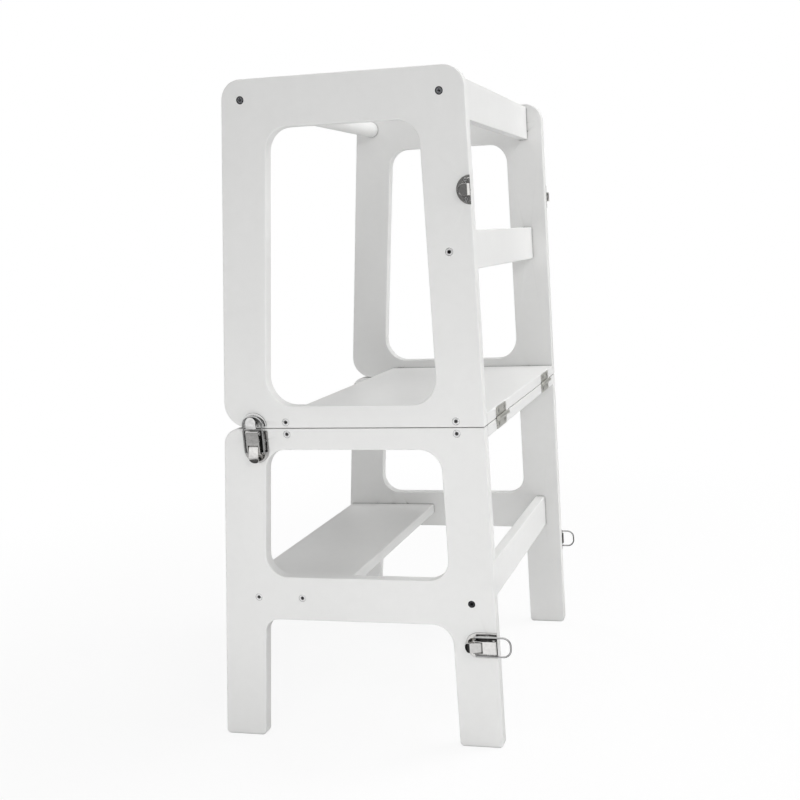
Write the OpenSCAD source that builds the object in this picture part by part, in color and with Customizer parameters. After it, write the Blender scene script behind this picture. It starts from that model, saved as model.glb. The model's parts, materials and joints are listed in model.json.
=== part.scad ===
// Toddler kitchen helper stool: a standing tower of two equal halves, hinged along the front.
// With the rear latches open the upper half folds over and stands in front as a table.
// Millimetres. +X is the front, where the hinges are; the child climbs in from -X. +Z is up.
// Origin: middle of the footprint, on the floor.

/* [Overall] */
// Height of the tower
tower_h = 900; // [780:10:1000]
// Width over the outer faces of the side panels
tower_w = 460; // [380:5:560]
// Depth of the side panels at the floor
panel_depth = 413; // [380:1:460]
// How far the rear edge leans in between the floor and the top
rear_lean = 94.5; // [60:0.5:110]
// Thickness of the boards
board_t = 16; // [15:1:18]
// Gap between the upper and the lower half
parting_gap = 0.4; // [0.3:0.1:1]

/* [Side panels] */
// Width of the rear stile and the rear leg
rear_stile_w = 61; // [50:1:70]
// Width of the front stile and the front leg
front_stile_w = 61.5; // [56:0.5:70]
// Height of the band above the upper window
top_band_h = 61; // [50:1:80]
// Height of the band on each side of the parting line
parting_band_h = 30; // [28:1:40]
// Height of the crossbar between the lower window and the leg notch
crossbar_h = 62.5; // [56:0.5:80]
// Drop of the crossbar's lower edge below the top of the step board
crossbar_drop = 40.5; // [36.5:0.5:56]
// Radius of the top corners
top_corner_r = 27; // [10:1:40]
// Radius of the upper half's rear corner at the parting line
upper_rear_corner_r = 33; // [20:1:36]
// Radius of the lower half's rear corner at the parting line
lower_rear_corner_r = 24; // [10:1:30]
// Radius of the upper window's top corners
window_top_r = 31; // [15:1:45]
// Radius of the upper window's bottom corners
window_bottom_r = 36; // [15:1:45]
// Radius of the lower window's corners
lower_window_r = 30; // [15:1:45]
// Radius of the leg notch at the rear
notch_rear_r = 22; // [10:1:40]
// Radius of the leg notch at the front
notch_front_r = 29; // [10:1:40]
// Radius of the corners of the feet
foot_corner_r = 6; // [3:1:12]

/* [Boards and rails] */
// Distance of the platform boards' rear edge from the panels' rear foot
platform_rear = 125; // [122:1:150]
// Depth of the step board
step_depth = 156; // [130:1:170]
// Height of the top of the step board
step_top_h = 217.5; // [205:0.5:230]
// Distance of the step board from the rear edge of the panels
step_setback = 4; // [1:1:12]
// Height of the front rails
rail_h = 52; // [44:1:56]
// Distance of the front rails from the front edge
rail_inset = 24.5; // [18:0.5:26]
// Drop of the top rail below the top of the panels
top_rail_drop = 4.5; // [2:0.5:12]
// Height of the middle of the middle rail above the parting line
middle_rail_rise = 225; // [180:5:260]
// Drop of the middle of the lower rail below the top of the step board
lower_rail_drop = 9.5; // [0:0.5:12]
// Diameter of the rear safety bar
bar_d = 25; // [20:1:30]
// Distance of the middle of the safety bar below the top
bar_drop = 25.5; // [20:0.5:35]
// Distance of the middle of the safety bar from the rear edge
bar_inset = 26; // [22:1:32]

/* [Screws and dowels] */
// Diameter of the heads of the furniture screws
head_d = 10; // [9:0.5:11]
// Height of the cone under a head
head_h = 3; // [2:0.5:4]
// Depth of a head below the face of the board
head_recess = 0.3; // [0.1:0.1:0.6]
// Diameter of the shoulder in the side panel
shoulder_d = 7; // [6:0.5:7]
// Diameter of the thread in the board's end
thread_d = 5; // [4:0.5:6]
// Length of a furniture screw
screw_l = 50; // [40:1:60]
// Distance of the end screws from the front and rear edge of a platform board
platform_screw_inset = 38; // [20:1:60]
// Distance between the two screws of the step board
step_screw_pitch = 65; // [50:1:90]
// Diameter of the dowels
dowel_d = 8; // [6:1:8]
// Length of the dowels
dowel_l = 30; // [25:1:35]
// Distance of a rail's dowel from its screw
rail_dowel_drop = 16; // [13:1:18]

/* [Hinges] */
// Length of a butt hinge
hinge_l = 50; // [40:1:60]
// Distance of the middle of a hinge from the outer face of its side panel
hinge_inset = 86; // [60:1:120]
// Height of a leaf, from the pin
leaf_h = 15; // [12:0.5:16]
// Thickness of a leaf
leaf_t = 1.2; // [1:0.1:1.5]
// Distance of the pin ahead of the front edges
pin_out = 3.2; // [3.1:0.1:4]
// Outer diameter of the knuckles
knuckle_d = 5.8; // [5:0.1:5.8]
// Diameter of the hinge pin
hinge_pin_d = 2.6; // [2:0.1:3]
// Number of knuckles
knuckle_count = 5; // [3:2:7]

/* [Latches] */
// Distance of the tower latches from the panels' rear foot
tower_latch_x = 92; // [88:1:110]
// Height of the table latches above the floor
table_latch_h = 150; // [120:1:155]
// Width of the base plates and the catches
latch_w = 36; // [34:0.5:38]
// Length of a base plate
base_l = 44; // [42:1:50]
// Thickness of the pressed sheet
sheet_t = 1.2; // [1:0.1:1.3]
// Diameter of the bail's wire
wire_d = 2.5; // [2:0.1:2.6]
// Distance between the legs of the bail
bail_w = 27; // [25:0.5:28]
// Radius of the bail's corners
bail_corner_r = 11; // [9:0.5:12]
// Distance from the parting plane to the wire behind the hook
bail_reach = 16.5; // [15.5:0.5:17.5]
// Distance from the parting plane to the bail's pivot
bail_pivot_back = 32; // [30:0.5:34]
// Distance from the parting plane to the lever's pivot
lever_pivot_back = 6.2; // [6.2:0.1:7.5]
// Height of the lever's pivot over the panel
lever_pivot_h = 6; // [5.8:0.1:6.3]
// How far the closed bail lies below the lever's pivot
over_centre = 0.6; // [0.2:0.1:1]
// Width of the lever
lever_w = 18; // [17:0.5:19]
// Distance from the parting plane to the end of the lever's flat top
flat_back = 21.5; // [20:0.5:23]
// Width of the lever's finger tab
tab_w = 13.6; // [11:0.1:14]
// Distance from the parting plane to the highest point of the finger tab
tab_back = 38.5; // [37.5:0.5:40]
// Height of that point over the panel
tab_h = 12; // [11:0.5:13]
// Distance from the parting plane to the tab's round end, which bends back to the panel
tab_end = 46.5; // [45.5:0.5:47]
// How far the tab falls towards the panel up to its end
tab_fall = 4; // [2:0.5:6]
// Diameter of the lever's pin
lever_pin_d = 3; // [2.5:0.1:3.2]
// Width of the hook
hook_w = 12; // [11:0.5:12.5]
// Width of the hook's round lip
lip_w = 14.5; // [13:0.1:15.5]
// Height of the hook over the panel
hook_h = 10.8; // [10.6:0.1:12]
// How far the lip reaches past the middle of the wire
lip_past = 0.35; // [0.2:0.05:0.6]

/* [Small screws] */
// Head diameter of the hinge and latch screws
small_head_d = 5.6; // [5:0.1:6]
// Shank diameter of the hinge and latch screws
small_shank_d = 3; // [2.5:0.1:3.5]
// Length of the hinge and latch screws
small_screw_l = 13; // [10:1:14]

/* [Hidden] */
$fn = 48;

// Colours, as the photograph shows them
board_white = [0.93, 0.93, 0.92];
chrome = [0.72, 0.73, 0.75];
nickel = [0.66, 0.66, 0.62];
screw_grey = [0.62, 0.63, 0.64];
screw_dark = [0.22, 0.23, 0.24];
beech = [0.80, 0.65, 0.45];

// Clearances and overruns
fit = 0.05;      // radial clearance of a pin, shank or dowel in its hole
wire_gap = 0.3;  // the hooked wire from the hook
side_gap = 0.2;  // the lever from its ears
cut = 1;         // overrun of every cut
arc_steps = 10;  // chords in one rounded corner
near = -1;
far = 1;

// The whole
half_w = tower_w / 2;
inner_half = half_w - board_t;
parting_h = tower_h / 2;
lower_top = parting_h - parting_gap / 2;
upper_bottom = parting_h + parting_gap / 2;
lean = rear_lean / tower_h;
foot_reach = foot_corner_r * (lean + sqrt(1 + lean * lean) - 1);
pin_x = panel_depth + pin_out;
front_reach = pin_x + bail_reach + wire_d / 2;
origin_x = (foot_reach + front_reach) / 2;

// Boards and rails
platform_depth = panel_depth - platform_rear;
platform_low = lower_top - board_t;
notch_h = step_top_h - crossbar_drop;
crossbar_top = notch_h + crossbar_h;
lower_rail_mid = step_top_h - lower_rail_drop;
step_mid = step_top_h - board_t / 2;
step_rear = rear_x(step_top_h) + step_setback;
rail_front = panel_depth - rail_inset;
rail_mid_x = rail_front - board_t / 2;
top_rail_mid = tower_h - top_rail_drop - rail_h / 2;
middle_rail_mid = parting_h + middle_rail_rise;
bar_mid = tower_h - bar_drop;
bar_x = rear_x(bar_mid) + bar_inset;

// Places of the screws and dowels at the boards' ends, as [x, z]
platform_ends = [platform_rear + platform_screw_inset / 3, panel_depth - platform_screw_inset];
lower_platform_z = lower_top - board_t / 2;
upper_platform_z = upper_bottom + board_t / 2;
lower_platform_spots = [for (x = platform_ends) [x, lower_platform_z]];
upper_platform_spots = [for (x = platform_ends) [x, upper_platform_z]];
step_spots = [for (s = [-1, 1]) [step_rear + step_depth / 2 + s * step_screw_pitch / 2, step_mid]];
lower_rail_spots = [[rail_mid_x, lower_rail_mid]];
middle_rail_spots = [[rail_mid_x, middle_rail_mid]];
top_spots = [[rail_mid_x, top_rail_mid], [bar_x, bar_mid]];
lower_spots = concat(lower_platform_spots, step_spots, lower_rail_spots);
upper_spots = concat(upper_platform_spots, middle_rail_spots, top_spots);
platform_mid_x = (platform_rear + panel_depth) / 2;
lower_dowel_spots = [
    [platform_mid_x, lower_platform_z], [step_rear + step_depth / 2, step_mid],
    [rail_mid_x, lower_rail_mid - rail_dowel_drop]
];
upper_dowel_spots = [
    [platform_mid_x, upper_platform_z], [rail_mid_x, middle_rail_mid - rail_dowel_drop],
    [rail_mid_x, top_rail_mid - rail_dowel_drop]
];
dowel_share = 0.4;  // part of a dowel that sits in the side panel
shoulder_short = 1; // a screw's shoulder ends this far inside the panel
tip_h = 4;          // height of a screw's point
drive_w = 5;        // width of the cross in a screw head
drive_slot = 1.1;   // width of its slots
drive_depth = 2;    // depth of the cross

// Hinges
knuckle_l = hinge_l / knuckle_count;
knuckle_gap = 0.2;                       // between two knuckles
knuckle_clear = 0.35;                    // a knuckle from the other leaf
leaf_edge = sqrt(pow(knuckle_d / 2 + knuckle_clear, 2) - pow(pin_out - leaf_t, 2));
hinge_y = half_w - hinge_inset;
hinge_screw_pitch = hinge_l * 0.6;
hinge_screw_mid = leaf_h * 0.6;
leaf_corner_r = 2;
pin_head_h = 0.8;

// Latches: local x runs across the latch, y towards the catch from the middle of the gap
// between the two halves, z out of the panel
bail_h = lever_pivot_h - over_centre;
ear_in = lever_w / 2 + side_gap;
ear_out = ear_in + sheet_t;
ear_r = 3;
lever_r = lever_pivot_h - sheet_t - wire_gap;
lever_rise = 3.6;                        // the lever's top above its pivot
lever_top = lever_pivot_h + lever_rise;
lever_lift = 1;                          // its side walls above the base plate
lever_low = sheet_t + lever_lift;
wall_past = 3.2;                         // its side walls past the bail's pivot
wall_end = bail_pivot_back + wall_past;
wall_drop = 1.4;                         // their upper edge falls by this behind the flat top
groove_w = 3.3;                          // the groove between the flat top and the finger tab
groove_h = 2.2;
tab_corner_r = tab_w / 2 - 2 * wire_gap;
rivet_d = 4.4;
rivet_h = 0.35;
hook_front = pin_out + sheet_t / 2;
hook_back = bail_reach - wire_d / 2 - wire_gap;
lip_front = 1;                           // the lip's straight edge from the parting plane
lip_end = bail_reach + lip_past;
base_side_spot = [14, -16.3];
base_tail_back = 42.5;
base_screw_spots = [base_side_spot, [-base_side_spot[0], base_side_spot[1]], [0, -base_tail_back]];
catch_side_spot = [11.8, 9];
catch_screw_spots = [catch_side_spot, [-catch_side_spot[0], catch_side_spot[1]]];

// X of the leaning rear edge at height z, from the rear foot
function rear_x(z) = lean * z;

// The arc that rounds corner b between its neighbours a and c
function corner_arc(a, b, c, r) =
    let (
        u = (a - b) / norm(a - b),
        w = (c - b) / norm(c - b),
        half = acos(u * w) / 2,
        centre = b + (u + w) / norm(u + w) * r / sin(half),
        from = b + u * r / tan(half) - centre,
        to = b + w * r / tan(half) - centre,
        start = atan2(from[1], from[0]),
        sweep = atan2(to[1], to[0]) - start,
        turn = sweep > 180 ? sweep - 360 : sweep < -180 ? sweep + 360 : sweep
    )
    r == 0 ? [b] : [for (i = [0:arc_steps]) centre + r * [cos(start + turn * i / arc_steps),
                                                          sin(start + turn * i / arc_steps)]];

// An outline with a radius at every corner
function rounded(points, radii) =
    let (n = len(points))
    [for (i = [0:n - 1]) each corner_arc(points[(i + n - 1) % n], points[i], points[(i + 1) % n],
                                         radii[i])];

// Moves a piece from the rear foot's frame to the origin
module placed() {
    translate([-origin_x, 0, 0]) children();
}

// Copies a piece of the near side on the far side
module on_side(side) {
    if (side == far) mirror([0, 1, 0]) children();
    else children();
}

// Turns z of a piece into the inward direction at the near outer face
module into_panel(spot) {
    translate([spot[0], -half_w, spot[1]]) rotate([-90, 0, 0]) children();
}

// A furniture screw along +z, with its head just under the face at z = 0
module furniture_screw() {
    head_r = head_d / 2;
    shoulder_r = shoulder_d / 2;
    thread_r = thread_d / 2;
    shoulder_end = board_t - shoulder_short;
    difference() {
        rotate_extrude() polygon([
            [0, head_recess], [head_r, head_recess], [head_r, 2 * head_recess],
            [shoulder_r, head_h + head_recess], [shoulder_r, shoulder_end],
            [thread_r, shoulder_end], [thread_r, screw_l - tip_h], [0, screw_l]
        ]);
        for (a = [0, 90]) rotate([0, 0, a])
            translate([-drive_w / 2, -drive_slot / 2, -cut]) cube([drive_w, drive_slot, drive_depth + cut]);
    }
}

// The hole of a furniture screw in the side panel and the board's end
module furniture_screw_hole() {
    translate([0, 0, -cut]) cylinder(d = shoulder_d + 2 * fit, h = board_t + cut);
    translate([0, 0, -cut]) cylinder(d = head_d + 2 * fit, h = 2 * head_recess + cut);
    translate([0, 0, 2 * head_recess])
        cylinder(d1 = head_d + 2 * fit, d2 = shoulder_d + 2 * fit, h = head_h - head_recess);
    translate([0, 0, board_t]) cylinder(d = thread_d + 2 * fit, h = screw_l + cut - board_t);
}

// A dowel along +z that bridges the inner face of the side panel
module dowel() {
    translate([0, 0, board_t - dowel_l * dowel_share]) cylinder(d = dowel_d, h = dowel_l);
}

module dowel_hole() {
    translate([0, 0, board_t - dowel_l * dowel_share]) cylinder(d = dowel_d + 2 * fit, h = dowel_l + fit);
}

// A small countersunk screw along +z, flush with a sheet's outer face at z = 0
module small_screw() {
    cone_h = sheet_t - fit;
    difference() {
        rotate_extrude() polygon([
            [0, fit], [small_head_d / 2, fit], [small_shank_d / 2, cone_h],
            [small_shank_d / 2, small_screw_l - tip_h / 2], [0, small_screw_l]
        ]);
        for (a = [0, 90]) rotate([0, 0, a]) translate([-small_head_d / 4, -drive_slot / 4, -cut])
            cube([small_head_d / 2, drive_slot / 2, drive_depth / 3 + cut]);
    }
}

module small_screw_hole() {
    translate([0, 0, -cut]) cylinder(d = small_head_d + 2 * fit, h = fit + cut);
    translate([0, 0, fit])
        cylinder(d1 = small_head_d + 2 * fit, d2 = small_shank_d + 2 * fit, h = sheet_t - 2 * fit);
    cylinder(d = small_shank_d + 2 * fit, h = small_screw_l + fit);
}

// Turns z of a small screw into the panel at a spot of the latch frame
module into_latch_spots(spots) {
    for (s = spots) translate([s[0], s[1], sheet_t]) rotate([180, 0, 0]) children();
}

// Frames of the latches on the near side
module tower_latch_frame() {
    translate([tower_latch_x, -half_w, parting_h]) rotate([90, 0, 0]) children();
}

module table_latch_frame() {
    translate([pin_x, -half_w, table_latch_h]) rotate([0, 90, 0]) rotate([90, 0, 0]) children();
}

// Brings a piece of the folded upper half back to the standing tower
module unfolded() {
    translate([pin_x, 0, parting_h]) rotate([0, 180, 0]) translate([-pin_x, 0, -parting_h]) children();
}

// Extrudes an outline in x and z into the near side panel
module panel_board(outline) {
    translate([0, -inner_half, 0]) rotate([90, 0, 0]) linear_extrude(board_t) polygon(outline);
}

lower_outline = rounded(
    [[0, 0], [rear_stile_w, 0], [rear_x(notch_h) + rear_stile_w, notch_h],
     [panel_depth - front_stile_w, notch_h], [panel_depth - front_stile_w, 0],
     [panel_depth, 0], [panel_depth, lower_top], [rear_x(lower_top), lower_top]],
    [foot_corner_r, foot_corner_r, notch_rear_r, notch_front_r, foot_corner_r,
     foot_corner_r, 0, lower_rear_corner_r]);

lower_window_top = parting_h - parting_band_h;
lower_window = rounded(
    [[rear_x(crossbar_top) + rear_stile_w, crossbar_top],
     [panel_depth - front_stile_w, crossbar_top],
     [panel_depth - front_stile_w, lower_window_top],
     [rear_x(lower_window_top) + rear_stile_w, lower_window_top]],
    [lower_window_r, lower_window_r, lower_window_r, lower_window_r]);

upper_outline = rounded(
    [[rear_x(upper_bottom), upper_bottom], [panel_depth, upper_bottom],
     [panel_depth, tower_h], [rear_x(tower_h), tower_h]],
    [upper_rear_corner_r, 0, top_corner_r, top_corner_r]);

upper_window_low = parting_h + parting_band_h;
upper_window_top = tower_h - top_band_h;
upper_window = rounded(
    [[rear_x(upper_window_low) + rear_stile_w, upper_window_low],
     [panel_depth - front_stile_w, upper_window_low],
     [panel_depth - front_stile_w, upper_window_top],
     [rear_x(upper_window_top) + rear_stile_w, upper_window_top]],
    [window_bottom_r, window_bottom_r, window_top_r, window_top_r]);

// The window's outline, cut through the near side panel
module window_cut(outline) {
    translate([0, cut - inner_half, 0]) rotate([90, 0, 0])
        linear_extrude(board_t + 2 * cut) polygon(outline);
}

module lower_side_panel() {
    color(board_white) difference() {
        panel_board(lower_outline);
        window_cut(lower_window);
        for (s = lower_spots) into_panel(s) furniture_screw_hole();
        for (s = lower_dowel_spots) into_panel(s) dowel_hole();
        tower_latch_frame() into_latch_spots(base_screw_spots) small_screw_hole();
        table_latch_frame() into_latch_spots(base_screw_spots) small_screw_hole();
    }
}

module upper_side_panel() {
    color(board_white) difference() {
        panel_board(upper_outline);
        window_cut(upper_window);
        for (s = upper_spots) into_panel(s) furniture_screw_hole();
        for (s = upper_dowel_spots) into_panel(s) dowel_hole();
        tower_latch_frame() into_latch_spots(catch_screw_spots) small_screw_hole();
        unfolded() table_latch_frame() into_latch_spots(catch_screw_spots) small_screw_hole();
    }
}

// A board or rail between the inner faces of the side panels
module cross_board(x, z, depth, height, spots, dowels) {
    difference() {
        translate([x, -inner_half, z]) cube([depth, 2 * inner_half, height]);
        for (side = [near, far]) on_side(side) {
            for (s = spots) into_panel(s) furniture_screw_hole();
            for (s = dowels) into_panel(s) dowel_hole();
        }
    }
}

module lower_platform_board() {
    color(board_white) difference() {
        cross_board(platform_rear, platform_low, platform_depth, board_t, lower_platform_spots,
                    [lower_dowel_spots[0]]);
        for (side = [near, far]) lower_hinge_screw_spots(side) small_screw_hole();
    }
}

module upper_platform_board() {
    color(board_white) difference() {
        cross_board(platform_rear, upper_bottom, platform_depth, board_t, upper_platform_spots,
                    [upper_dowel_spots[0]]);
        for (side = [near, far]) upper_hinge_screw_spots(side) small_screw_hole();
    }
}

module step_board() {
    color(board_white)
        cross_board(step_rear, step_top_h - board_t, step_depth, board_t, step_spots, [lower_dowel_spots[1]]);
}

module front_rail(mid, spots, dowels) {
    color(board_white)
        cross_board(rail_front - board_t, mid - rail_h / 2, board_t, rail_h, spots, dowels);
}

module rear_safety_bar() {
    color(board_white) difference() {
        translate([bar_x, -inner_half, bar_mid]) rotate([-90, 0, 0]) cylinder(d = bar_d, h = 2 * inner_half);
        for (side = [near, far]) on_side(side) into_panel(top_spots[1]) furniture_screw_hole();
    }
}

module furniture_screws(spots, tone) {
    color(tone) for (side = [near, far]) on_side(side)
        for (s = spots) into_panel(s) furniture_screw();
}

module dowels(spots) {
    color(beech) for (side = [near, far]) on_side(side)
        for (s = spots) into_panel(s) dowel();
}

// Hinge frame: x along the pin, y up from it, z forward out of the front edges' face
module hinge_frame(side) {
    on_side(side) translate([panel_depth, -hinge_y, parting_h]) rotate([90, 0, 90]) children();
}

module lower_hinge_screw_spots(side) {
    hinge_frame(side) for (s = [-1, 1])
        translate([s * hinge_screw_pitch / 2, -hinge_screw_mid, leaf_t]) rotate([180, 0, 0]) children();
}

module upper_hinge_screw_spots(side) {
    hinge_frame(side) for (s = [-1, 1])
        translate([s * hinge_screw_pitch / 2, hinge_screw_mid, leaf_t]) rotate([180, 0, 0]) children();
}

// One leaf below the pin: its plate, and the knuckles of the given parity around the pin
module hinge_leaf(parity) {
    leaf = rounded([[-hinge_l / 2, -leaf_h], [hinge_l / 2, -leaf_h],
                    [hinge_l / 2, -leaf_edge], [-hinge_l / 2, -leaf_edge]],
                   [leaf_corner_r, leaf_corner_r, 0, 0]);
    color(nickel) difference() {
        union() {
            linear_extrude(leaf_t) polygon(leaf);
            for (k = [parity:2:knuckle_count - 1])
                translate([-hinge_l / 2 + k * knuckle_l + knuckle_gap / 2, 0, 0]) {
                    translate([0, -leaf_edge - leaf_t, 0])
                        cube([knuckle_l - knuckle_gap, leaf_edge + leaf_t, leaf_t]);
                    translate([0, 0, pin_out]) rotate([0, 90, 0])
                        cylinder(d = knuckle_d, h = knuckle_l - knuckle_gap);
                }
        }
        translate([-hinge_l / 2 - cut, 0, pin_out]) rotate([0, 90, 0])
            cylinder(d = hinge_pin_d + 2 * fit, h = hinge_l + 2 * cut);
        for (s = [-1, 1]) translate([s * hinge_screw_pitch / 2, -hinge_screw_mid, leaf_t])
            rotate([180, 0, 0]) small_screw_hole();
    }
}

module hinge_lower_leaf(side) {
    hinge_frame(side) hinge_leaf(0);
}

module hinge_upper_leaf(side) {
    hinge_frame(side) mirror([0, 1, 0]) hinge_leaf(1);
}

module hinge_pin(side) {
    color(nickel) hinge_frame(side) translate([-hinge_l / 2, 0, pin_out]) rotate([0, 90, 0]) {
        cylinder(d = hinge_pin_d, h = hinge_l);
        translate([0, 0, -pin_head_h]) cylinder(d = knuckle_d, h = pin_head_h);
        translate([0, 0, hinge_l]) cylinder(d = knuckle_d, h = pin_head_h);
    }
}

module hinge_lower_screws() {
    color(nickel) for (side = [near, far]) lower_hinge_screw_spots(side) small_screw();
}

module hinge_upper_screws() {
    color(nickel) for (side = [near, far]) upper_hinge_screw_spots(side) small_screw();
}

// Extrudes an outline in y and z of the latch frame across the latch, between two x
module across(outline, low, high) {
    translate([low, 0, 0]) rotate([90, 0, 90]) linear_extrude(high - low) polygon(outline);
}

// A bore or pin across the latch at a pivot of height h, back from the parting plane
module cross_pin(back, h, d, reach) {
    translate([-reach, -back, h]) rotate([0, 90, 0]) cylinder(d = d, h = 2 * reach);
}

// Base plate with a round tail and the two ears that carry the lever's pin
module latch_base() {
    tail_y = -pin_out - base_l + latch_w / 2;
    ear = [[-lever_pivot_back - ear_r, sheet_t / 2], [-lever_pivot_back + ear_r, sheet_t / 2],
           [-lever_pivot_back + ear_r, lever_pivot_h], [-lever_pivot_back - ear_r, lever_pivot_h]];
    color(chrome) difference() {
        union() {
            linear_extrude(sheet_t) {
                translate([-latch_w / 2, tail_y]) square([latch_w, -pin_out - tail_y]);
                translate([0, tail_y]) circle(d = latch_w, $fn = 64);
            }
            for (low = [-ear_out, ear_in]) {
                across(ear, low, low + sheet_t);
                translate([low, -lever_pivot_back, lever_pivot_h]) rotate([0, 90, 0])
                    cylinder(r = ear_r, h = sheet_t);
            }
        }
        cross_pin(lever_pivot_back, lever_pivot_h, lever_pin_d + 2 * fit, latch_w / 2);
        into_latch_spots(base_screw_spots) small_screw_hole();
    }
}

// The lever's pin, with a flat rivet head on each ear
module lever_pin() {
    color(chrome) {
        cross_pin(lever_pivot_back, lever_pivot_h, lever_pin_d, ear_out);
        for (low = [-ear_out - rivet_h, ear_out])
            translate([low, -lever_pivot_back, lever_pivot_h]) rotate([0, 90, 0])
                cylinder(d = rivet_d, h = rivet_h);
    }
}

// Pressed channel lever: two side walls, a flat top, and behind a groove the finger tab that
// rises away from the panel
module latch_lever() {
    nose = -lever_pivot_back + lever_r;
    wall = rounded(
        [[-lever_pivot_back, lever_pivot_h - lever_r], [nose, lever_pivot_h - lever_r],
         [nose, lever_top], [-flat_back, lever_top], [-wall_end, lever_top - wall_drop],
         [-wall_end, lever_low], [-lever_pivot_back - lever_r, lever_low]],
        [0, lever_r, lever_r / 2, 0, lever_r / 4, lever_r / 2, 0]);
    top = rounded(
        [[nose, lever_pivot_h], [nose, lever_top], [-flat_back, lever_top],
         [-flat_back, lever_top - sheet_t], [nose - sheet_t, lever_top - sheet_t],
         [nose - sheet_t, lever_pivot_h]],
        [0, lever_r / 2, 0, 0, sheet_t / 2, 0]);
    groove_back = flat_back + groove_w / 2;
    tab_front = flat_back + groove_w;
    tab_bend = (tab_back + tab_end) / 2;
    tab = [[sheet_t - flat_back, lever_top], [-flat_back, lever_top],
           [-groove_back, lever_top - groove_h], [-tab_front, lever_top - groove_h / 2],
           [-tab_back, tab_h], [-tab_bend, tab_h - tab_fall / 3], [-tab_end, tab_h - tab_fall],
           [-tab_end, tab_h - tab_fall - sheet_t], [-tab_bend, tab_h - tab_fall / 3 - sheet_t],
           [-tab_back, tab_h - sheet_t], [-tab_front, lever_top - groove_h / 2 - sheet_t],
           [-groove_back, lever_top - groove_h - sheet_t],
           [-flat_back, lever_top - sheet_t], [sheet_t - flat_back, lever_top - sheet_t]];
    tab_plan = rounded(
        [[-tab_w / 2, -tab_end], [tab_w / 2, -tab_end],
         [tab_w / 2, sheet_t - flat_back], [-tab_w / 2, sheet_t - flat_back]],
        [tab_corner_r, tab_corner_r, 0, 0]);
    color(chrome) difference() {
        union() {
            for (low = [-lever_w / 2, lever_w / 2 - sheet_t]) across(wall, low, low + sheet_t);
            across(top, -lever_w / 2, lever_w / 2);
            intersection() {
                across(tab, -tab_w / 2 - cut, tab_w / 2 + cut);
                linear_extrude(tab_h + cut) polygon(tab_plan);
            }
        }
        cross_pin(lever_pivot_back, lever_pivot_h, lever_pin_d + 2 * fit, latch_w / 2);
        cross_pin(bail_pivot_back, bail_h, wire_d + 2 * fit, latch_w / 2);
    }
}

// Wire bail: two legs, an end with round corners, and two ends turned into the lever's walls
module latch_bail() {
    leg_x = bail_w / 2;
    turned_in = lever_w / 2 - 2 * sheet_t;
    bend_y = bail_reach - bail_corner_r;
    bend_x = leg_x - bail_corner_r;
    color(chrome) translate([0, 0, bail_h]) {
        for (s = [-1, 1]) {
            translate([s * leg_x, -bail_pivot_back, 0]) rotate([-90, 0, 0])
                cylinder(d = wire_d, h = bend_y + bail_pivot_back);
            translate([s * leg_x, -bail_pivot_back, 0]) sphere(d = wire_d);
            translate([s > 0 ? turned_in : -leg_x, -bail_pivot_back, 0]) rotate([0, 90, 0])
                cylinder(d = wire_d, h = leg_x - turned_in);
            translate([s * bend_x, bend_y, 0]) rotate([0, 0, s > 0 ? 0 : 90])
                rotate_extrude(angle = 90) translate([bail_corner_r, 0]) circle(d = wire_d);
        }
        translate([-bend_x, bail_reach, 0]) rotate([0, 90, 0]) cylinder(d = wire_d, h = 2 * bend_x);
    }
}

// A plan with a straight front edge and a half-round end
module half_round(width, front, end) {
    translate([-width / 2, front]) square([width, end - width / 2 - front]);
    translate([0, end - width / 2]) circle(d = width);
}

// Half-round catch plate with a hollow pressed hook, whose round lip holds the bail's wire
module latch_catch() {
    wall_in = 2 * sheet_t;
    color(chrome) difference() {
        union() {
            intersection() {
                translate([0, pin_out]) cylinder(d = latch_w, h = sheet_t, $fn = 64);
                translate([-latch_w / 2, pin_out, -cut]) cube([latch_w, latch_w, sheet_t + 2 * cut]);
            }
            linear_extrude(hook_h - sheet_t / 2) half_round(hook_w, hook_front, hook_back);
            translate([0, 0, hook_h - sheet_t]) linear_extrude(sheet_t)
                half_round(lip_w, lip_front, lip_end);
        }
        translate([0, 0, -cut]) linear_extrude(hook_h - sheet_t + cut)
            half_round(hook_w - wall_in, hook_front + sheet_t, hook_back - sheet_t);
        into_latch_spots(catch_screw_spots) small_screw_hole();
    }
}

module latch_base_screws() {
    color(chrome) for (side = [near, far]) on_side(side) {
        tower_latch_frame() into_latch_spots(base_screw_spots) small_screw();
        table_latch_frame() into_latch_spots(base_screw_spots) small_screw();
    }
}

module catch_screws() {
    color(chrome) for (side = [near, far]) on_side(side) {
        tower_latch_frame() into_latch_spots(catch_screw_spots) small_screw();
        unfolded() table_latch_frame() into_latch_spots(catch_screw_spots) small_screw();
    }
}

placed() on_side(near) lower_side_panel();  // lower_side_panel_near
placed() on_side(far) lower_side_panel();  // lower_side_panel_far
placed() lower_platform_board();
placed() step_board();
placed() front_rail(lower_rail_mid, lower_rail_spots, [lower_dowel_spots[2]]);  // lower_front_rail
placed() furniture_screws(lower_platform_spots, screw_grey);  // lower_platform_screws
placed() furniture_screws(step_spots, screw_grey);  // step_screws
placed() furniture_screws(lower_rail_spots, screw_dark);  // lower_rail_screws
placed() dowels(lower_dowel_spots);  // lower_dowels
placed() hinge_lower_leaf(near);  // hinge_lower_leaf_near
placed() hinge_lower_leaf(far);  // hinge_lower_leaf_far
placed() hinge_pin(near);  // hinge_pin_near
placed() hinge_pin(far);  // hinge_pin_far
placed() hinge_lower_screws();
placed() on_side(near) upper_side_panel();  // upper_side_panel_near
placed() on_side(far) upper_side_panel();  // upper_side_panel_far
placed() upper_platform_board();
placed() front_rail(top_rail_mid, [top_spots[0]], [upper_dowel_spots[2]]);  // top_front_rail
placed() front_rail(middle_rail_mid, middle_rail_spots, [upper_dowel_spots[1]]);  // middle_front_rail
placed() rear_safety_bar();
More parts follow.
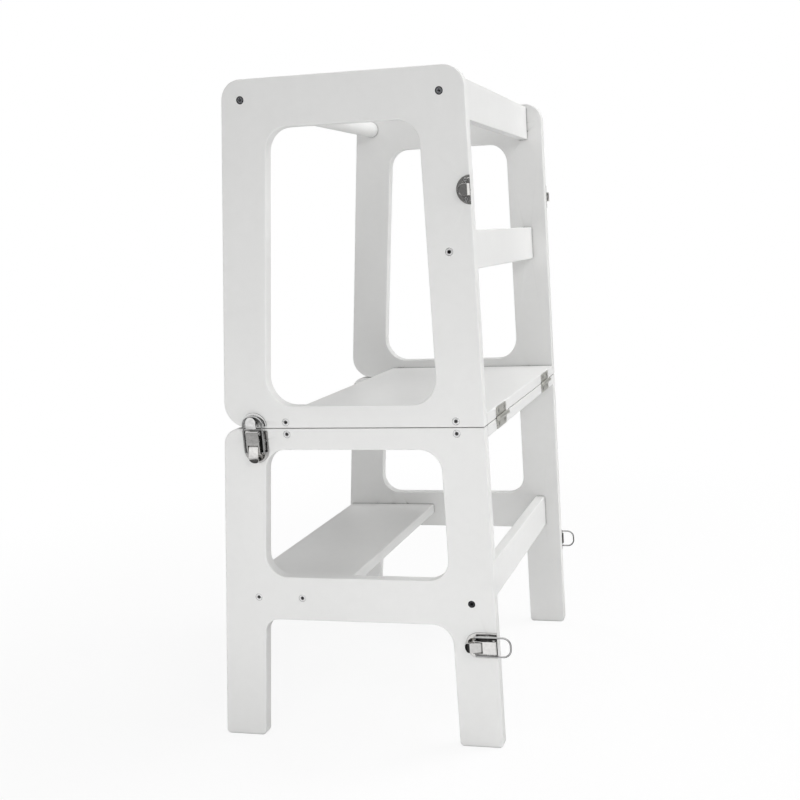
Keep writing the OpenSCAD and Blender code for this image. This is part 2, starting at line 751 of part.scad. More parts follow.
placed() furniture_screws(upper_platform_spots, screw_grey);  // upper_platform_screws
placed() furniture_screws(top_spots, screw_dark);  // top_screws
placed() furniture_screws(middle_rail_spots, screw_grey);  // middle_rail_screws
placed() dowels(upper_dowel_spots);  // upper_dowels
placed() hinge_upper_leaf(near);  // hinge_upper_leaf_near
placed() hinge_upper_leaf(far);  // hinge_upper_leaf_far
placed() hinge_upper_screws();
placed() tower_latch_frame() latch_base();  // tower_latch_base_near
placed() on_side(far) tower_latch_frame() latch_base();  // tower_latch_base_far
placed() table_latch_frame() latch_base();  // table_latch_base_near
placed() on_side(far) table_latch_frame() latch_base();  // table_latch_base_far
placed() tower_latch_frame() latch_lever();  // tower_lever_near
placed() on_side(far) tower_latch_frame() latch_lever();  // tower_lever_far
placed() table_latch_frame() latch_lever();  // table_lever_near
placed() on_side(far) table_latch_frame() latch_lever();  // table_lever_far
placed() tower_latch_frame() latch_bail();  // tower_bail_near
placed() on_side(far) tower_latch_frame() latch_bail();  // tower_bail_far
placed() table_latch_frame() latch_bail();  // table_bail_near
placed() on_side(far) table_latch_frame() latch_bail();  // table_bail_far
placed() tower_latch_frame() lever_pin();  // tower_lever_pin_near
placed() on_side(far) tower_latch_frame() lever_pin();  // tower_lever_pin_far
placed() table_latch_frame() lever_pin();  // table_lever_pin_near
placed() on_side(far) table_latch_frame() lever_pin();  // table_lever_pin_far
placed() latch_base_screws();
placed() tower_latch_frame() latch_catch();  // tower_catch_near
placed() on_side(far) tower_latch_frame() latch_catch();  // tower_catch_far
placed() unfolded() table_latch_frame() latch_catch();  // table_catch_near
placed() on_side(far) unfolded() table_latch_frame() latch_catch();  // table_catch_far
placed() catch_screws();
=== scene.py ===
"""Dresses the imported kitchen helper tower: softened boards, procedural materials, light, floor and camera."""
import json
import math

import bmesh
import bpy
from mathutils import Euler, Matrix, Vector


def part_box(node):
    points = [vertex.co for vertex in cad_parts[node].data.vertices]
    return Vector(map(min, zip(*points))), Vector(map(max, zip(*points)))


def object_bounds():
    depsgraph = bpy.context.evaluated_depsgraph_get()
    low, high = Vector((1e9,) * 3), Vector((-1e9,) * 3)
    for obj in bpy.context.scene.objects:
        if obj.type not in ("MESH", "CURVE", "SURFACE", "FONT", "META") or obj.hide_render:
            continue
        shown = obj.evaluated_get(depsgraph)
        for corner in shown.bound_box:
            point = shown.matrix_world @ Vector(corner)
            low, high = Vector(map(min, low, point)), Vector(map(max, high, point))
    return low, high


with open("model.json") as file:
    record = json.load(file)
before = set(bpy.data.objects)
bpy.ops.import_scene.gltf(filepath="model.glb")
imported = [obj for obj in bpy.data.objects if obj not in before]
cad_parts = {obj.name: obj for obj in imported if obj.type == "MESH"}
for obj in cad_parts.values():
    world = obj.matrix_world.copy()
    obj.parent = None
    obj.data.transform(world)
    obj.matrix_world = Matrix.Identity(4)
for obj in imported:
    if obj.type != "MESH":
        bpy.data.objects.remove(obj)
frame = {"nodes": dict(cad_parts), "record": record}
CAD_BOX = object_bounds()
nodes = frame["nodes"]
scene = bpy.context.scene
MM = 0.001

# How far the edges of each kind of piece are rounded
PANEL_ROUND = 1.5 * MM
BOARD_ROUND = 1.4 * MM
BAR_ROUND = 1.0 * MM
LATCH_ROUND = 0.28 * MM
HINGE_ROUND = 0.2 * MM
SCREW_ROUND = 0.12 * MM

# Vertices nearer than WELD become one. Edges flatter than SHARP or nearer a screw than SCREW_GUARD stay
# as they are, and a board's ends, which butt against the panels, get END_SHARE of its rounding.
WELD = 0.002 * MM
SHARP = math.radians(30)
SCREW_GUARD = 1.2 * MM
BOARD_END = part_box("step_board")[1].y
END_REACH = 0.5 * MM
END_SHARE = 0.35

# The pieces that cross each panel and board, whose bores keep sharp edges
LOWER_PANEL_GUARDS = (
    "lower_platform_screws", "step_screws", "lower_rail_screws", "latch_base_screws", "lower_dowels",
)
UPPER_PANEL_GUARDS = (
    "upper_platform_screws", "middle_rail_screws", "top_screws", "catch_screws", "upper_dowels",
)
BOARD_GUARDS = {
    "lower_platform_board": ("lower_platform_screws", "lower_dowels", "hinge_lower_screws"),
    "upper_platform_board": ("upper_platform_screws", "upper_dowels", "hinge_upper_screws"),
    "step_board": ("step_screws", "lower_dowels"),
    "lower_front_rail": ("lower_rail_screws", "lower_dowels"),
    "middle_front_rail": ("middle_rail_screws", "upper_dowels"),
    "top_front_rail": ("top_screws", "upper_dowels"),
}

# Tones of the materials
WHITE = (0.765, 0.765, 0.757)
BEECH_LIGHT = (0.62, 0.42, 0.24)
BEECH_DARK = (0.42, 0.26, 0.13)
NICKEL = (0.66, 0.655, 0.61)
NICKEL_SCREW = (0.60, 0.595, 0.565)
CHROME = (0.80, 0.79, 0.775)
HOOK_CHROME = (0.82, 0.82, 0.815)
WIRE_CHROME = (0.64, 0.64, 0.64)
PIN_CHROME = (0.74, 0.74, 0.75)
SCREW_CHROME = (0.80, 0.80, 0.80)

# Depths of the fine relief in lacquer, wood and metal
PEEL_DEPTH = 0.05 * MM
GRAIN_DEPTH = 0.05 * MM
SCRATCH_DEPTH = 0.012 * MM
DENT_DEPTH = 0.5 * MM

# Range that nearly all values of a noise texture lie in
NOISE_RANGE = (0.3, 0.7)

# Reaches of painted shade: within them a crease is shaded, a joint gets a painted shadow line, and metal is
# shaded in its recesses
CREASE_REACH = 6.0 * MM
JOINT_REACH = 2.6 * MM
SCREW_REACH = 1.6 * MM
PIN_REACH = 3.0 * MM
WIRE_REACH = 5.0 * MM
PRESSED_REACH = 6.0 * MM

# Openness at which each of these is darkest, and at which it ends
CREASE_RANGE = (0.35, 0.85)
JOINT_RANGE = (0.40, 0.70)
RECESS_SHADE_RANGE = (0.45, 0.90)

# Furniture screws: the head, how soft its marks are, where they end, and the looks of each kind
HEAD_R = 5.0 * MM
MARK_BLUR = 0.17 * MM
MARKS_END = (5.2 * MM, 5.6 * MM)
# Painted shade in the screw heads' sockets
SOCKET_SHADE = 0.10
SCREWS = {
    "bright_screw": {
        "tone": (0.88, 0.88, 0.88),
        "metallic": 0.45,
        "marks": {"bore": 2.33 * MM, "rim_r": 4.62 * MM, "rim_tone": 0.32},
    },
    "dark_screw": {
        "tone": (0.27, 0.275, 0.29),
        "metallic": 0.8,
        "marks": {"bore": 1.1 * MM, "rim_r": 3.7 * MM, "rim_tone": 0.08},
    },
    "sunk_screw": {
        "tone": (0.06, 0.06, 0.065),
        "metallic": 0.8,
        "marks": {"bore": 1.8 * MM, "rim_r": 3.9 * MM, "rim_tone": 0.3},
    },
}

# Table catch plate: the ring pressed around its hook, and the lip rolled over along its straight edge
RING_R = 14.2 * MM
RING_DEPTH = 0.7 * MM
RING_FLANK = (0.1 * MM, 1.0 * MM)
LIP_W = 3.4 * MM
LIP_HALF_H = 7.0 * MM
LIP_SLOPE = -0.26

# Lamps: place, what each points at, the side of its square in metres, and its power in watts
MIDDLE = (0.0, 0.0, CAD_BOX[1][2] / 2)
LAMPS = {
    "overhead": ((2.08, 0.39, 2.98), MIDDLE, 1.7, 62.0),
    "top": ((0.0, 0.0, 3.6), MIDDLE, 1.7, 8.5),
    "front_right": ((1.8, -2.0, 1.9), MIDDLE, 0.8, 11.5),
    "low_front": ((-0.05, -1.25, 0.05), (-0.05, -0.2, 0.15), 0.9, 6.2),
    "rear_left": ((-2.2, 1.4, 1.2), MIDDLE, 1.3, 12.0),
    "rear_right": ((2.4, 1.5, 1.2), MIDDLE, 1.3, 9.0),
}
# The world: strength of its even fill light, and tone of the dark walls in the painted reflection that metal
# mirrors
FILL = 0.50
DARK_WALL = 0.17

# Camera: place in metres, turn about x, y and z in degrees, lens and sensor in millimetres
CAMERA_PLACE = (0.54321, -1.44545, 0.70172)
CAMERA_TURN = (79.36556, 2.42502, 10.46639)
CAMERA_LENS = 44.8136
CAMERA_SENSOR = 36.0
CAMERA_SHIFT = (-0.2125, 0.015)
CAMERA_CLIP = (0.05, 60.0)

# Floor: its radius, how far it lies below the feet, and the dark spot before the object, painted into what
# metal mirrors
FLOOR_R = 9.0
FLOOR_SIDES = 96
FLOOR_DROP = 0.1 * MM
DARK_SPOT = (-0.22, -0.42, 0.0)


class Tree:
    """Short calls for building a node tree."""

    def __init__(self, tree):
        self.tree = tree
        tree.nodes.clear()

    def add(self, kind, inputs=None, **props):
        """Adds a node, sets its properties and feeds its inputs."""
        node = self.tree.nodes.new(kind)
        for name, value in props.items():
            setattr(node, name, value)
        for name, value in (inputs or {}).items():
            self.feed(node.inputs[name], value)
        return node

    def first(self, kind, inputs=None, **props):
        """Adds a node and returns its first output."""
        return self.add(kind, inputs, **props).outputs[0]

    def feed(self, socket, value):
        """Links an output to a socket, or sets the socket to a constant."""
        if isinstance(value, bpy.types.NodeSocket):
            self.tree.links.new(value, socket)
        else:
            socket.default_value = value

    def math(self, operation, a, b=0.0):
        return self.first("ShaderNodeMath", {0: a, 1: b}, operation=operation)

    def times(self, start, *factors):
        for factor in factors:
            start = self.math("MULTIPLY", start, factor)
        return start

    def most(self, start, *others):
        for other in others:
            start = self.math("MAXIMUM", start, other)
        return start

    def length(self, a, b):
        """The length of the vector (a, b)."""
        return self.math("SQRT", self.math("ADD", self.times(a, a), self.times(b, b)))

    def apart(self, a, b):
        """The distance between two places."""
        return self.add("ShaderNodeVectorMath", {0: a, 1: b}, operation="DISTANCE").outputs["Value"]

    def axes(self, vector):
        """A vector's outputs X, Y and Z."""
        return self.add("ShaderNodeSeparateXYZ", {"Vector": vector}).outputs

    def span(self, value, low, high, to_low=0.0, to_high=1.0, smooth=False):
        """Maps low..high to to_low..to_high, and stays level outside it."""
        limits = {"Value": value, "From Min": low, "From Max": high, "To Min": to_low, "To Max": to_high}
        kind = "SMOOTHSTEP" if smooth else "LINEAR"
        return self.add("ShaderNodeMapRange", limits, interpolation_type=kind).outputs["Result"]

    def noise(self, vector, scale, detail=2.0, rough=0.5):
        looks = {"Vector": vector, "Scale": scale, "Detail": detail, "Roughness": rough}
        return self.add("ShaderNodeTexNoise", looks).outputs["Fac"]

    def wander(self, vector, scale, low, high, detail=2.0, rough=0.5):
        """A value that wanders from low to high over the surface."""
        return self.span(self.noise(vector, scale, detail, rough), *NOISE_RANGE, low, high)

    def stretch(self, vector, scale):
        return self.add("ShaderNodeMapping", {"Vector": vector, "Scale": scale}).outputs["Vector"]

    def openness(self, reach, samples=8):
        """1 on an open surface, and less where something is within reach."""
        return self.add("ShaderNodeAmbientOcclusion", {"Distance": reach}, samples=samples).outputs["AO"]

    def mix(self, share, a, b, blend="MIX"):
        """Mixes two colours."""
        node = self.add("ShaderNodeMix", {0: share}, data_type="RGBA", blend_type=blend)
        self.feed(node.inputs[6], a)
        self.feed(node.inputs[7], b)
        return node.outputs[2]

    def mix_vectors(self, share, a, b):
        node = self.add("ShaderNodeMix", {0: share}, data_type="VECTOR")
        self.feed(node.inputs[4], a)
        self.feed(node.inputs[5], b)
        return node.outputs[1]

    def grey(self, value):
        return self.first("ShaderNodeCombineColor", {0: value, 1: value, 2: value})

    def tint(self, shader, tone, shade):
        """Colours a shader with a tone, darkened or lightened by the shade."""
        self.feed(shader.inputs["Base Color"], self.mix(1.0, rgb(*tone), self.grey(shade), "MULTIPLY"))

    def bump(self, height, distance, strength=1.0, normal=None):
        """Normals of a surface that rises by height times distance."""
        inputs = {"Height": height, "Distance": distance, "Strength": strength}
        if normal is not None:
            inputs["Normal"] = normal
        return self.add("ShaderNodeBump", inputs).outputs["Normal"]

    def by_ray(self, lit, mirrored, seen):
        """One shader for the light, one for what metal mirrors and one for what the camera sees."""
        ray = self.add("ShaderNodeLightPath").outputs
        unseen = self.first("ShaderNodeMixShader", {0: ray["Is Glossy Ray"], 1: lit, 2: mirrored})
        return self.first("ShaderNodeMixShader", {0: ray["Is Camera Ray"], 1: unseen, 2: seen})


def rgb(*tone):
    return (*tone, 1.0)


def material(name):
    """A new material with its tree, its shader and the coordinates of the object."""
    m = bpy.data.materials.new(name)
    m.use_nodes = True
    t = Tree(m.node_tree)
    shader = t.add("ShaderNodeBsdfPrincipled")
    t.add("ShaderNodeOutputMaterial", {"Surface": shader.outputs[0]})
    where = t.add("ShaderNodeTexCoord").outputs["Object"]
    return m, t, shader, where


def lacquer(name, tone, grain=1.0):
    """Sprayed satin lacquer on fibre board: orange peel, fuzzy cut edges, faint clouds, painted shade in
    creases and joints.
    """
    m, t, shader, where = material(name)
    cloud = t.wander(where, scale=5.0, low=0.975, high=1.012, detail=3.0)
    mottle = t.wander(where, scale=70.0, low=0.990, high=1.008, detail=4.0, rough=0.6)
    # Painted shade from ambient occlusion: darker in creases, and a dark painted shadow line along joints
    crease_shade = t.span(t.openness(CREASE_REACH), *CREASE_RANGE, to_low=0.80)
    joint_shadow = t.span(t.openness(JOINT_REACH, samples=16), *JOINT_RANGE, to_low=0.30, smooth=True)
    t.tint(shader, tone, t.times(cloud, mottle, t.times(crease_shade, joint_shadow)))

    facing = t.math("ABSOLUTE", t.axes(t.add("ShaderNodeNewGeometry").outputs["Normal"])["Y"])
    cut_edge = t.span(facing, 0.25, 0.75, to_low=1.0, to_high=0.0, smooth=True)
    gloss = t.wander(where, scale=140.0, low=0.36, high=0.45, detail=3.0, rough=0.6)
    t.feed(shader.inputs["Roughness"], t.math("ADD", gloss, t.times(cut_edge, 0.06 * grain)))
    peel = t.noise(where, scale=420.0, rough=0.45)
    fibres = t.noise(t.stretch(where, (1.0, 4.0, 1.0)), scale=900.0, detail=3.0, rough=0.7)
    height = t.math("ADD", peel, t.times(fibres, cut_edge, 0.6 * grain))
    t.feed(shader.inputs["Normal"], t.bump(height, PEEL_DEPTH, strength=0.55))
    shader.inputs["Coat Weight"].default_value = 0.18
    shader.inputs["Coat Roughness"].default_value = 0.22
    return m


def wood(name, light, dark):
    """Turned beech: fine grain along the dowel with short dark flecks."""
    m, t, shader, where = material(name)
    grain = t.noise(t.stretch(where, (1.0, 0.08, 1.0)), scale=700.0, detail=4.0, rough=0.6)
    fleck = t.span(t.noise(t.stretch(where, (1.0, 0.2, 1.0)), scale=1800.0), 0.62, 0.74)
    colour = t.mix(t.span(grain, *NOISE_RANGE), rgb(*dark), rgb(*light))
    t.feed(shader.inputs["Base Color"], t.mix(t.times(fleck, 0.45), colour, rgb(*dark)))
    t.feed(shader.inputs["Roughness"], t.span(grain, *NOISE_RANGE, to_low=0.62, to_high=0.5))
    t.feed(shader.inputs["Normal"], t.bump(grain, GRAIN_DEPTH, strength=0.5))
    return m


def six_sided(t, run, rise):
    """How far a place is from the middle, measured square to a hexagon's sides."""
    half = t.times(run, 0.5)
    slant = t.times(rise, math.sin(math.radians(60)))
    pairs = (t.math("ADD", half, slant), t.math("SUBTRACT", half, slant))
    return t.most(t.math("ABSOLUTE", run), *(t.math("ABSOLUTE", pair) for pair in pairs))


def edge_at(t, distance, place, inside, outside):
    """A soft edge between two tones where the distance reaches the place."""
    return t.span(distance, place - MARK_BLUR, place + MARK_BLUR, inside, outside, smooth=True)


def screw_marks(t, where, spots, bore, rim_r, rim_tone):
    """Tone of round screw heads at places x, z: painted shade in a six-sided socket, and a darker rim."""
    parts = t.axes(where)
    tone = 1.0
    for x, z in spots:
        run = t.math("SUBTRACT", parts["X"], x)
        rise = t.math("SUBTRACT", parts["Z"], z)
        away = t.length(run, rise)
        rim = t.most(edge_at(t, away, rim_r, 1.0, rim_tone), t.span(away, *MARKS_END))
        # Painted shade: a six-sided socket darkened to near black
        socket = edge_at(t, six_sided(t, run, rise), bore, SOCKET_SHADE, 1.0)
        tone = t.times(tone, t.times(rim, socket))
    return tone


def pressed(t, where, normal, edge, middle):
    """Normals of a catch plate: a ring pressed around its hook, and a lip rolled over at its edge."""
    parts = t.axes(where)
    run = t.math("SUBTRACT", edge, parts["X"])
    rise = t.math("SUBTRACT", parts["Z"], middle)
    from_ring = t.math("ABSOLUTE", t.math("SUBTRACT", t.length(run, rise), RING_R))
    ring = t.span(from_ring, *RING_FLANK, to_low=1.0, to_high=0.0, smooth=True)
    normal = t.bump(ring, RING_DEPTH, normal=normal)
    rolled = t.bump(t.times(rise, LIP_SLOPE), 1.0, normal=normal)
    in_width = t.math("LESS_THAN", run, LIP_W)
    in_height = t.math("LESS_THAN", t.math("ABSOLUTE", rise), LIP_HALF_H)
    return t.mix_vectors(t.times(in_width, in_height), normal, rolled)


def metal(name, tone, rough, dents, recess_shade, metallic=1.0, reach=SCREW_REACH, rubbed=0.0,
          along=(1.0, 1.0, 1.0), lean=0.0, marks=None, plate=None):
    """Plated metal: uneven gloss, fine rubbed scratches, soft dents of the press and painted shade in the
    recesses.

    lean tips what it mirrors upward, marks are those of screw heads, and plate places a catch's ring and lip.
    """
    m, t, shader, where = material(name)
    shader.inputs["Metallic"].default_value = metallic
    tint = t.wander(where, scale=260.0, low=0.93, high=1.03, detail=3.0, rough=0.6)
    # Painted shade: the metal darkens where something is near, in its recesses
    tint = t.times(tint, t.span(t.openness(reach), *RECESS_SHADE_RANGE, to_low=1.0 - recess_shade))
    if marks:
        tint = t.times(tint, screw_marks(t, where, **marks))
    t.tint(shader, tone, tint)
    smear = t.wander(where, scale=190.0, low=rough * 0.7, high=rough * 1.35, detail=4.0, rough=0.65)
    t.feed(shader.inputs["Roughness"], smear)

    scratches = t.noise(t.stretch(where, along), scale=2600.0, rough=0.6)
    normal = t.bump(scratches, SCRATCH_DEPTH, strength=0.25 + rubbed)
    if lean:
        normal = t.bump(t.times(t.axes(where)["Z"], -lean), 1.0, normal=normal)
    wave = t.noise(where, scale=130.0, detail=1.0, rough=0.4)
    normal = t.bump(wave, DENT_DEPTH, strength=dents, normal=normal)
    if plate:
        normal = pressed(t, where, normal, **plate)
    t.feed(shader.inputs["Normal"], normal)
    return m


def white_board():
    """Lacquer of the panels, boards and rails."""
    return lacquer("white_lacquer_board", WHITE)


def white_bar():
    """Lacquer of the safety bar, on turned wood that shows fewer fibres."""
    return lacquer("white_lacquer_bar", WHITE, grain=0.3)


def beech():
    """Wood of the dowels."""
    return wood("beech", BEECH_LIGHT, BEECH_DARK)


def nickel():
    """Brushed nickel of the hinges."""
    brushed = {"metallic": 0.7, "rubbed": 0.5, "along": (1.0, 0.06, 1.0)}
    return metal("satin_nickel", NICKEL, rough=0.34, dents=0.1, recess_shade=0.45, **brushed)


def nickel_screw():
    """Nickel of the hinges' screws."""
    return metal("nickel_screw", NICKEL_SCREW, rough=0.3, dents=0.1, recess_shade=0.75)


def pressed_chrome(name, tone, rough, **more):
    """Polished chrome of the latches' pressed parts."""
    return metal(name, tone, rough, dents=0.22, recess_shade=0.92, reach=PRESSED_REACH, **more)


def latch_chrome():
    """Chrome of the levers and their base plates."""
    return pressed_chrome("polished_chrome", CHROME, rough=0.10)


def hook_chrome():
    """Chrome of the tower catches, which mirror as if they faced a little upward."""
    return pressed_chrome("pressed_chrome_hook", HOOK_CHROME, rough=0.11, lean=0.24)


def plate_chrome():
    """Chrome of the table catches, with the ring and lip placed by the plate's front edge and middle."""
    low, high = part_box("table_catch_near")
    plate = {"edge": high.x, "middle": (low.z + high.z) / 2}
    return pressed_chrome("pressed_chrome_plate", CHROME, rough=0.10, plate=plate)


def wire_chrome():
    """Chrome of the wire bails."""
    return metal("chrome_wire", WIRE_CHROME, rough=0.08, dents=0.10, recess_shade=0.85, reach=WIRE_REACH)


def pin_chrome():
    """Chrome of the levers' pins."""
    return metal("chrome_rivet", PIN_CHROME, rough=0.14, dents=0.15, recess_shade=0.6, reach=PIN_REACH)


def screw_chrome():
    """Chrome of the latches' screws."""
    return metal("chrome_screw", SCREW_CHROME, rough=0.16, dents=0.15, recess_shade=0.85)


MATERIALS = {
    "white_board": white_board(),
    "white_bar": white_bar(),
    "beech": beech(),
    "nickel": nickel(),
    "nickel_screw": nickel_screw(),
    "chrome": latch_chrome(),
    "hook_chrome": hook_chrome(),
    "plate_chrome": plate_chrome(),
    "chrome_wire": wire_chrome(),
    "chrome_rivet": pin_chrome(),
    "chrome_screw": screw_chrome(),
}
# Nodes that look unlike the rest of their material slot, by the start of their names
SPECIAL = {"tower_catch": "hook_chrome", "table_catch": "plate_chrome", "lower_rail_screws": "sunk_screw"}


def screw_material(node, slot):
    """A node's own screw material, because the marks need the heads' places.

    The heads lie one radius in from the corners of the node's box, the rear one above the front one if they
    differ in height.
    """
    low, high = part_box(node)
    rear = (round(low.x + HEAD_R, 6), round(high.z - HEAD_R, 6))
    front = (round(high.x - HEAD_R, 6), round(low.z + HEAD_R, 6))
    look = SCREWS[slot]
    marks = {"spots": sorted({rear, front}), **look["marks"]}
    plating = {"metallic": look["metallic"], "dents": 0.1, "recess_shade": 0.2}
    return metal(slot + "_" + node, look["tone"], rough=0.3, marks=marks, **plating)


def finish_of(node, slot):
    """The material of a node: its slot's, apart from the special ones."""
    for start, other in SPECIAL.items():
        if node.startswith(start):
            slot = other
    return screw_material(node, slot) if slot in SCREWS else MATERIALS[slot]


def dress():
    """Gives every CAD node its material."""
    for part in frame["record"]["subparts"]:
        slots = nodes[part["node"]].data.materials
        slots.clear()
        slots.append(finish_of(part["node"], part["material_slot"]))


class Geo(Tree):
    """A geometry node group for one modifier."""

    def __init__(self, name):
        group = bpy.data.node_groups.new(name, "GeometryNodeTree")
        group.is_modifier = True
        for way in ("INPUT", "OUTPUT"):
            group.interface.new_socket("Geometry", in_out=way, socket_type="NodeSocketGeometry")
        super().__init__(group)
        self.start = self.first("NodeGroupInput")

    def end(self, geometry):
        """Sets smooth shading, makes the result the group's output and returns the group."""
        smooth = self.first("GeometryNodeSetShadeSmooth", {0: geometry, "Shade Smooth": True})
        self.add("NodeGroupOutput", {0: smooth})
        return self.tree


def away_from(g, place, guards):
    """1 where no guard, such as a screw, is near, and 0 beside one."""
    joined = g.add("GeometryNodeJoinGeometry")
    for guard in guards:
        info = g.add("GeometryNodeObjectInfo", {"Object": nodes[guard]}, transform_space="RELATIVE")
        g.tree.links.new(info.outputs["Geometry"], joined.inputs[0])
    target = {0: joined.outputs[0], "Sample Position": place}
    near = g.add("GeometryNodeProximity", target, target_element="FACES")
    return g.math("GREATER_THAN", near.outputs["Distance"], SCREW_GUARD)


def end_share(g, place):
    """1 along a board, and a small share at its ends, which butt against the panels."""
    side = g.math("ABSOLUTE", g.axes(place)["Y"])
    past = g.math("GREATER_THAN", side, BOARD_END - END_REACH)
    short = g.math("LESS_THAN", side, BOARD_END + END_REACH)
    return g.math("SUBTRACT", 1.0, g.times(past, short, 1.0 - END_SHARE))


def weights(name, guards, butted):
    """A node group that gives each edge its bevel weight: how much of the rounding it takes."""
    g = Geo(name)
    place = g.first("GeometryNodeInputPosition")
    angle = g.add("GeometryNodeInputMeshEdgeAngle").outputs["Unsigned Angle"]
    weight = g.math("GREATER_THAN", angle, SHARP)
    if guards:
        weight = g.times(weight, away_from(g, place, guards))
    if butted:
        weight = g.times(weight, end_share(g, place))
    target = {"Geometry": g.start, "Name": "bevel_weight_edge"}
    stored = g.add("GeometryNodeStoreNamedAttribute", target, data_type="FLOAT", domain="EDGE")
    g.feed(stored.inputs["Value"], weight)
    return g.end(stored.outputs[0])


def modifier(o, name, kind, **settings):
    m = o.modifiers.new(name, kind)
    for setting, value in settings.items():
        setattr(m, setting, value)


def soften(node, width, segments=3, guards=(), butted=False):
    """Rounds a CAD node's edges with modifiers alone."""
    o = nodes[node]
    modifier(o, "weld", "WELD", merge_threshold=WELD)
    modifier(o, "weights", "NODES", node_group=weights("weights_" + node, guards, butted))
    shape = {"width": width, "segments": segments, "limit_method": "WEIGHT"}
    corners = {"use_clamp_overlap": False, "loop_slide": False, "miter_outer": "MITER_ARC"}
    modifier(o, "round", "BEVEL", **shape, **corners)
    modifier(o, "normals", "WEIGHTED_NORMAL", mode="FACE_AREA", weight=100, keep_sharp=False)


def smooth_rod(node):
    """Lets a node of round wire or rod shade as one smooth surface."""
    o = nodes[node]
    g = Geo("smooth_" + node)
    modifier(o, "weld", "WELD", merge_threshold=WELD)
    modifier(o, "smooth", "NODES", node_group=g.end(g.start))
    modifier(o, "normals", "WEIGHTED_NORMAL", mode="FACE_AREA_WITH_ANGLE", weight=50, keep_sharp=False)


def round_boards():
    """Rounds the edges of the panels, the boards and the safety bar."""
    for side in ("near", "far"):
        soften("lower_side_panel_" + side, PANEL_ROUND, guards=LOWER_PANEL_GUARDS)
        soften("upper_side_panel_" + side, PANEL_ROUND, guards=UPPER_PANEL_GUARDS)
    for board, guards in BOARD_GUARDS.items():
        soften(board, BOARD_ROUND, guards=guards, butted=True)
    soften("rear_safety_bar", BAR_ROUND, guards=("top_screws",), butted=True)


def round_metal():
    """Rounds the edges of the metal, and smooths the wire bails and the dowels."""
    for node in nodes:
        if "screws" in node:
            soften(node, SCREW_ROUND, segments=2)
        elif "hinge" in node and "pin" not in node:
            soften(node, HINGE_ROUND, segments=2)
        elif any(word in node for word in ("lever", "latch_base", "catch", "pin")):
            soften(node, LATCH_ROUND, segments=2)
        elif "bail" in node or "dowels" in node:
            smooth_rod(node)


def floor_seen(t, away, matt):
    """What the camera sees of the floor: white, with the object's shadow faintly near it."""
    white = t.first("ShaderNodeEmission", {"Color": rgb(1, 1, 1), "Strength": 1.0})
    whiteness = t.span(away, 0.5, 1.6, to_low=0.86, smooth=True)
    return t.first("ShaderNodeMixShader", {0: whiteness, 1: matt, 2: white})


def floor_painted_reflection(t, where, away):
    """Painted reflection of the floor for the metal: it glows pale in patches, dark under the object, before it
    and beside it.
    """
    patches = t.span(t.noise(where, scale=1.6), 0.4, 0.6, to_low=0.72, to_high=1.12, smooth=True)
    aside = t.math("DIVIDE", t.math("ABSOLUTE", t.axes(where)["X"]), away)
    far_off = t.span(away, 0.7, 4.4, to_low=0.86, to_high=0.12)
    under = t.span(away, 0.36, 0.52, to_low=0.10, smooth=True)
    beside = t.span(aside, 0.72, 0.92, to_low=1.0, to_high=0.12, smooth=True)
    before = t.span(t.apart(where, DARK_SPOT), 0.22, 0.32, to_low=0.10, smooth=True)
    shade = t.times(far_off, under, beside, before, patches)
    return t.first("ShaderNodeEmission", {"Color": t.grey(shade), "Strength": 1.0})


def floor_material():
    """A white floor: matt to the light, with a painted reflection for the metal and a look of its own for the
    camera.
    """
    m = bpy.data.materials.new("white_floor")
    m.use_nodes = True
    t = Tree(m.node_tree)
    where = t.add("ShaderNodeTexCoord").outputs["Object"]
    away = t.apart(where, (0.0, 0.0, 0.0))
    tone = t.wander(where, scale=1.2, low=0.80, high=0.82)
    matt = t.first("ShaderNodeBsdfDiffuse", {"Color": t.grey(tone)})
    # The metal sees a painted reflection, which glows for glossy rays alone
    surface = t.by_ray(matt, floor_painted_reflection(t, where, away), floor_seen(t, away, matt))
    t.add("ShaderNodeOutputMaterial", {"Surface": surface})
    return m


def make_floor():
    bm = bmesh.new()
    bmesh.ops.create_circle(bm, cap_ends=True, radius=FLOOR_R, segments=FLOOR_SIDES)
    mesh = bpy.data.meshes.new("floor")
    bm.to_mesh(mesh)
    bm.free()
    mesh.materials.append(floor_material())
    floor = bpy.data.objects.new("floor", mesh)
    scene.collection.objects.link(floor)
    floor.location.z = -FLOOR_DROP


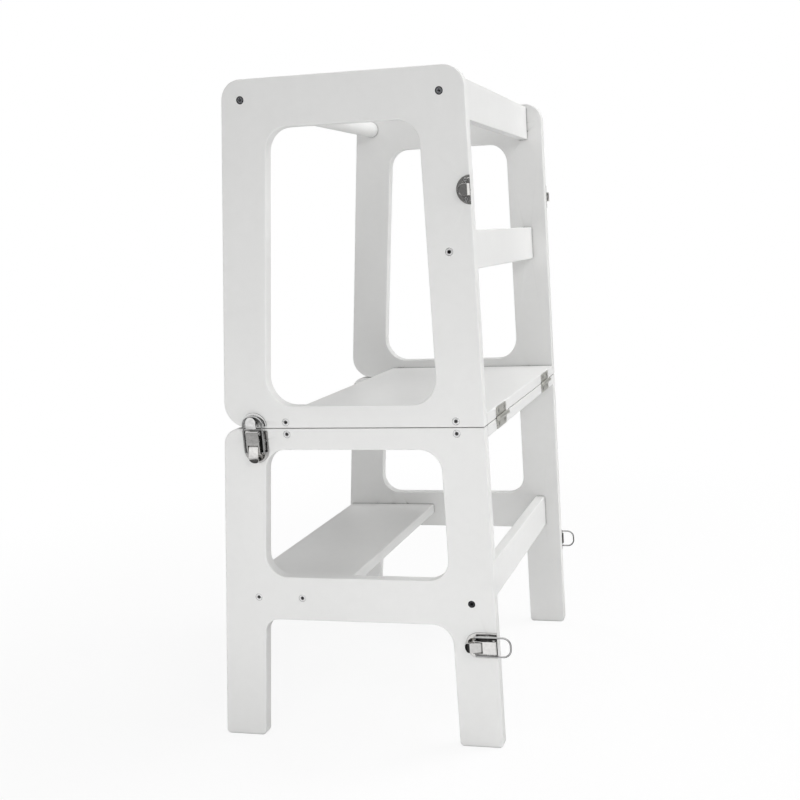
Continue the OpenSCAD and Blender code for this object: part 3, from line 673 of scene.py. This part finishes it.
def room(t, where):
    """Tone of a painted reflection for the metal to mirror: a pale front wall and ceiling, and windows in dark
    walls.
    """
    parts = t.axes(where)
    height = parts["Z"]
    front = t.times(
        t.span(parts["Y"], -0.35, -0.65, smooth=True),
        t.span(height, 0.12, 0.26, smooth=True),
    )
    ceiling = t.span(height, 0.42, 0.75, to_high=0.85, smooth=True)
    openings = t.noise(t.stretch(where, (1.0, 1.0, 0.3)), scale=2.1, detail=1.0, rough=0.4)
    windows = t.times(
        t.span(openings, 0.56, 0.62, to_high=0.7, smooth=True),
        t.span(height, 0.06, 0.2),
    )
    return t.most(front, ceiling, windows, DARK_WALL)


def make_world():
    """White behind the object, a painted reflection of a pale room for the metal, and an even fill light."""
    world = bpy.data.worlds.new("studio")
    scene.world = world
    world.use_nodes = True
    t = Tree(world.node_tree)
    where = t.add("ShaderNodeTexCoord").outputs["Generated"]
    fill = t.first("ShaderNodeBackground", {"Color": rgb(1, 1, 1), "Strength": FILL})
    # Painted reflection: the room glows only for glossy rays and lights nothing
    mirrored = t.first("ShaderNodeBackground", {"Color": t.grey(room(t, where)), "Strength": 1.0})
    behind = t.first("ShaderNodeBackground", {"Color": rgb(1, 1, 1), "Strength": 1.0})
    t.add("ShaderNodeOutputWorld", {"Surface": t.by_ray(fill, mirrored, behind)})


def lamp(name, place, aim, side, power):
    """A square lamp that neither the camera nor the metal sees."""
    data = bpy.data.lights.new(name, "AREA")
    data.shape = "SQUARE"
    data.size = side
    data.energy = power
    o = bpy.data.objects.new(name, data)
    scene.collection.objects.link(o)
    o.visible_glossy = False
    o.visible_camera = False
    o.location = place
    o.rotation_euler = (Vector(aim) - Vector(place)).to_track_quat("-Z", "Y").to_euler()


def make_camera():
    """The photograph's camera, fitted to the straight edges of the boards."""
    data = bpy.data.cameras.new("camera")
    data.sensor_width = CAMERA_SENSOR
    data.lens = CAMERA_LENS
    data.shift_x, data.shift_y = CAMERA_SHIFT
    data.clip_start, data.clip_end = CAMERA_CLIP
    o = bpy.data.objects.new("camera", data)
    scene.collection.objects.link(o)
    turn = Euler([math.radians(angle) for angle in CAMERA_TURN]).to_matrix().to_4x4()
    o.matrix_world = Matrix.Translation(CAMERA_PLACE) @ turn
    scene.camera = o


round_boards()
round_metal()
dress()
make_floor()
make_world()
for name, settings in LAMPS.items():
    lamp(name, *settings)
make_camera()
scene.view_settings.view_transform = "Standard"
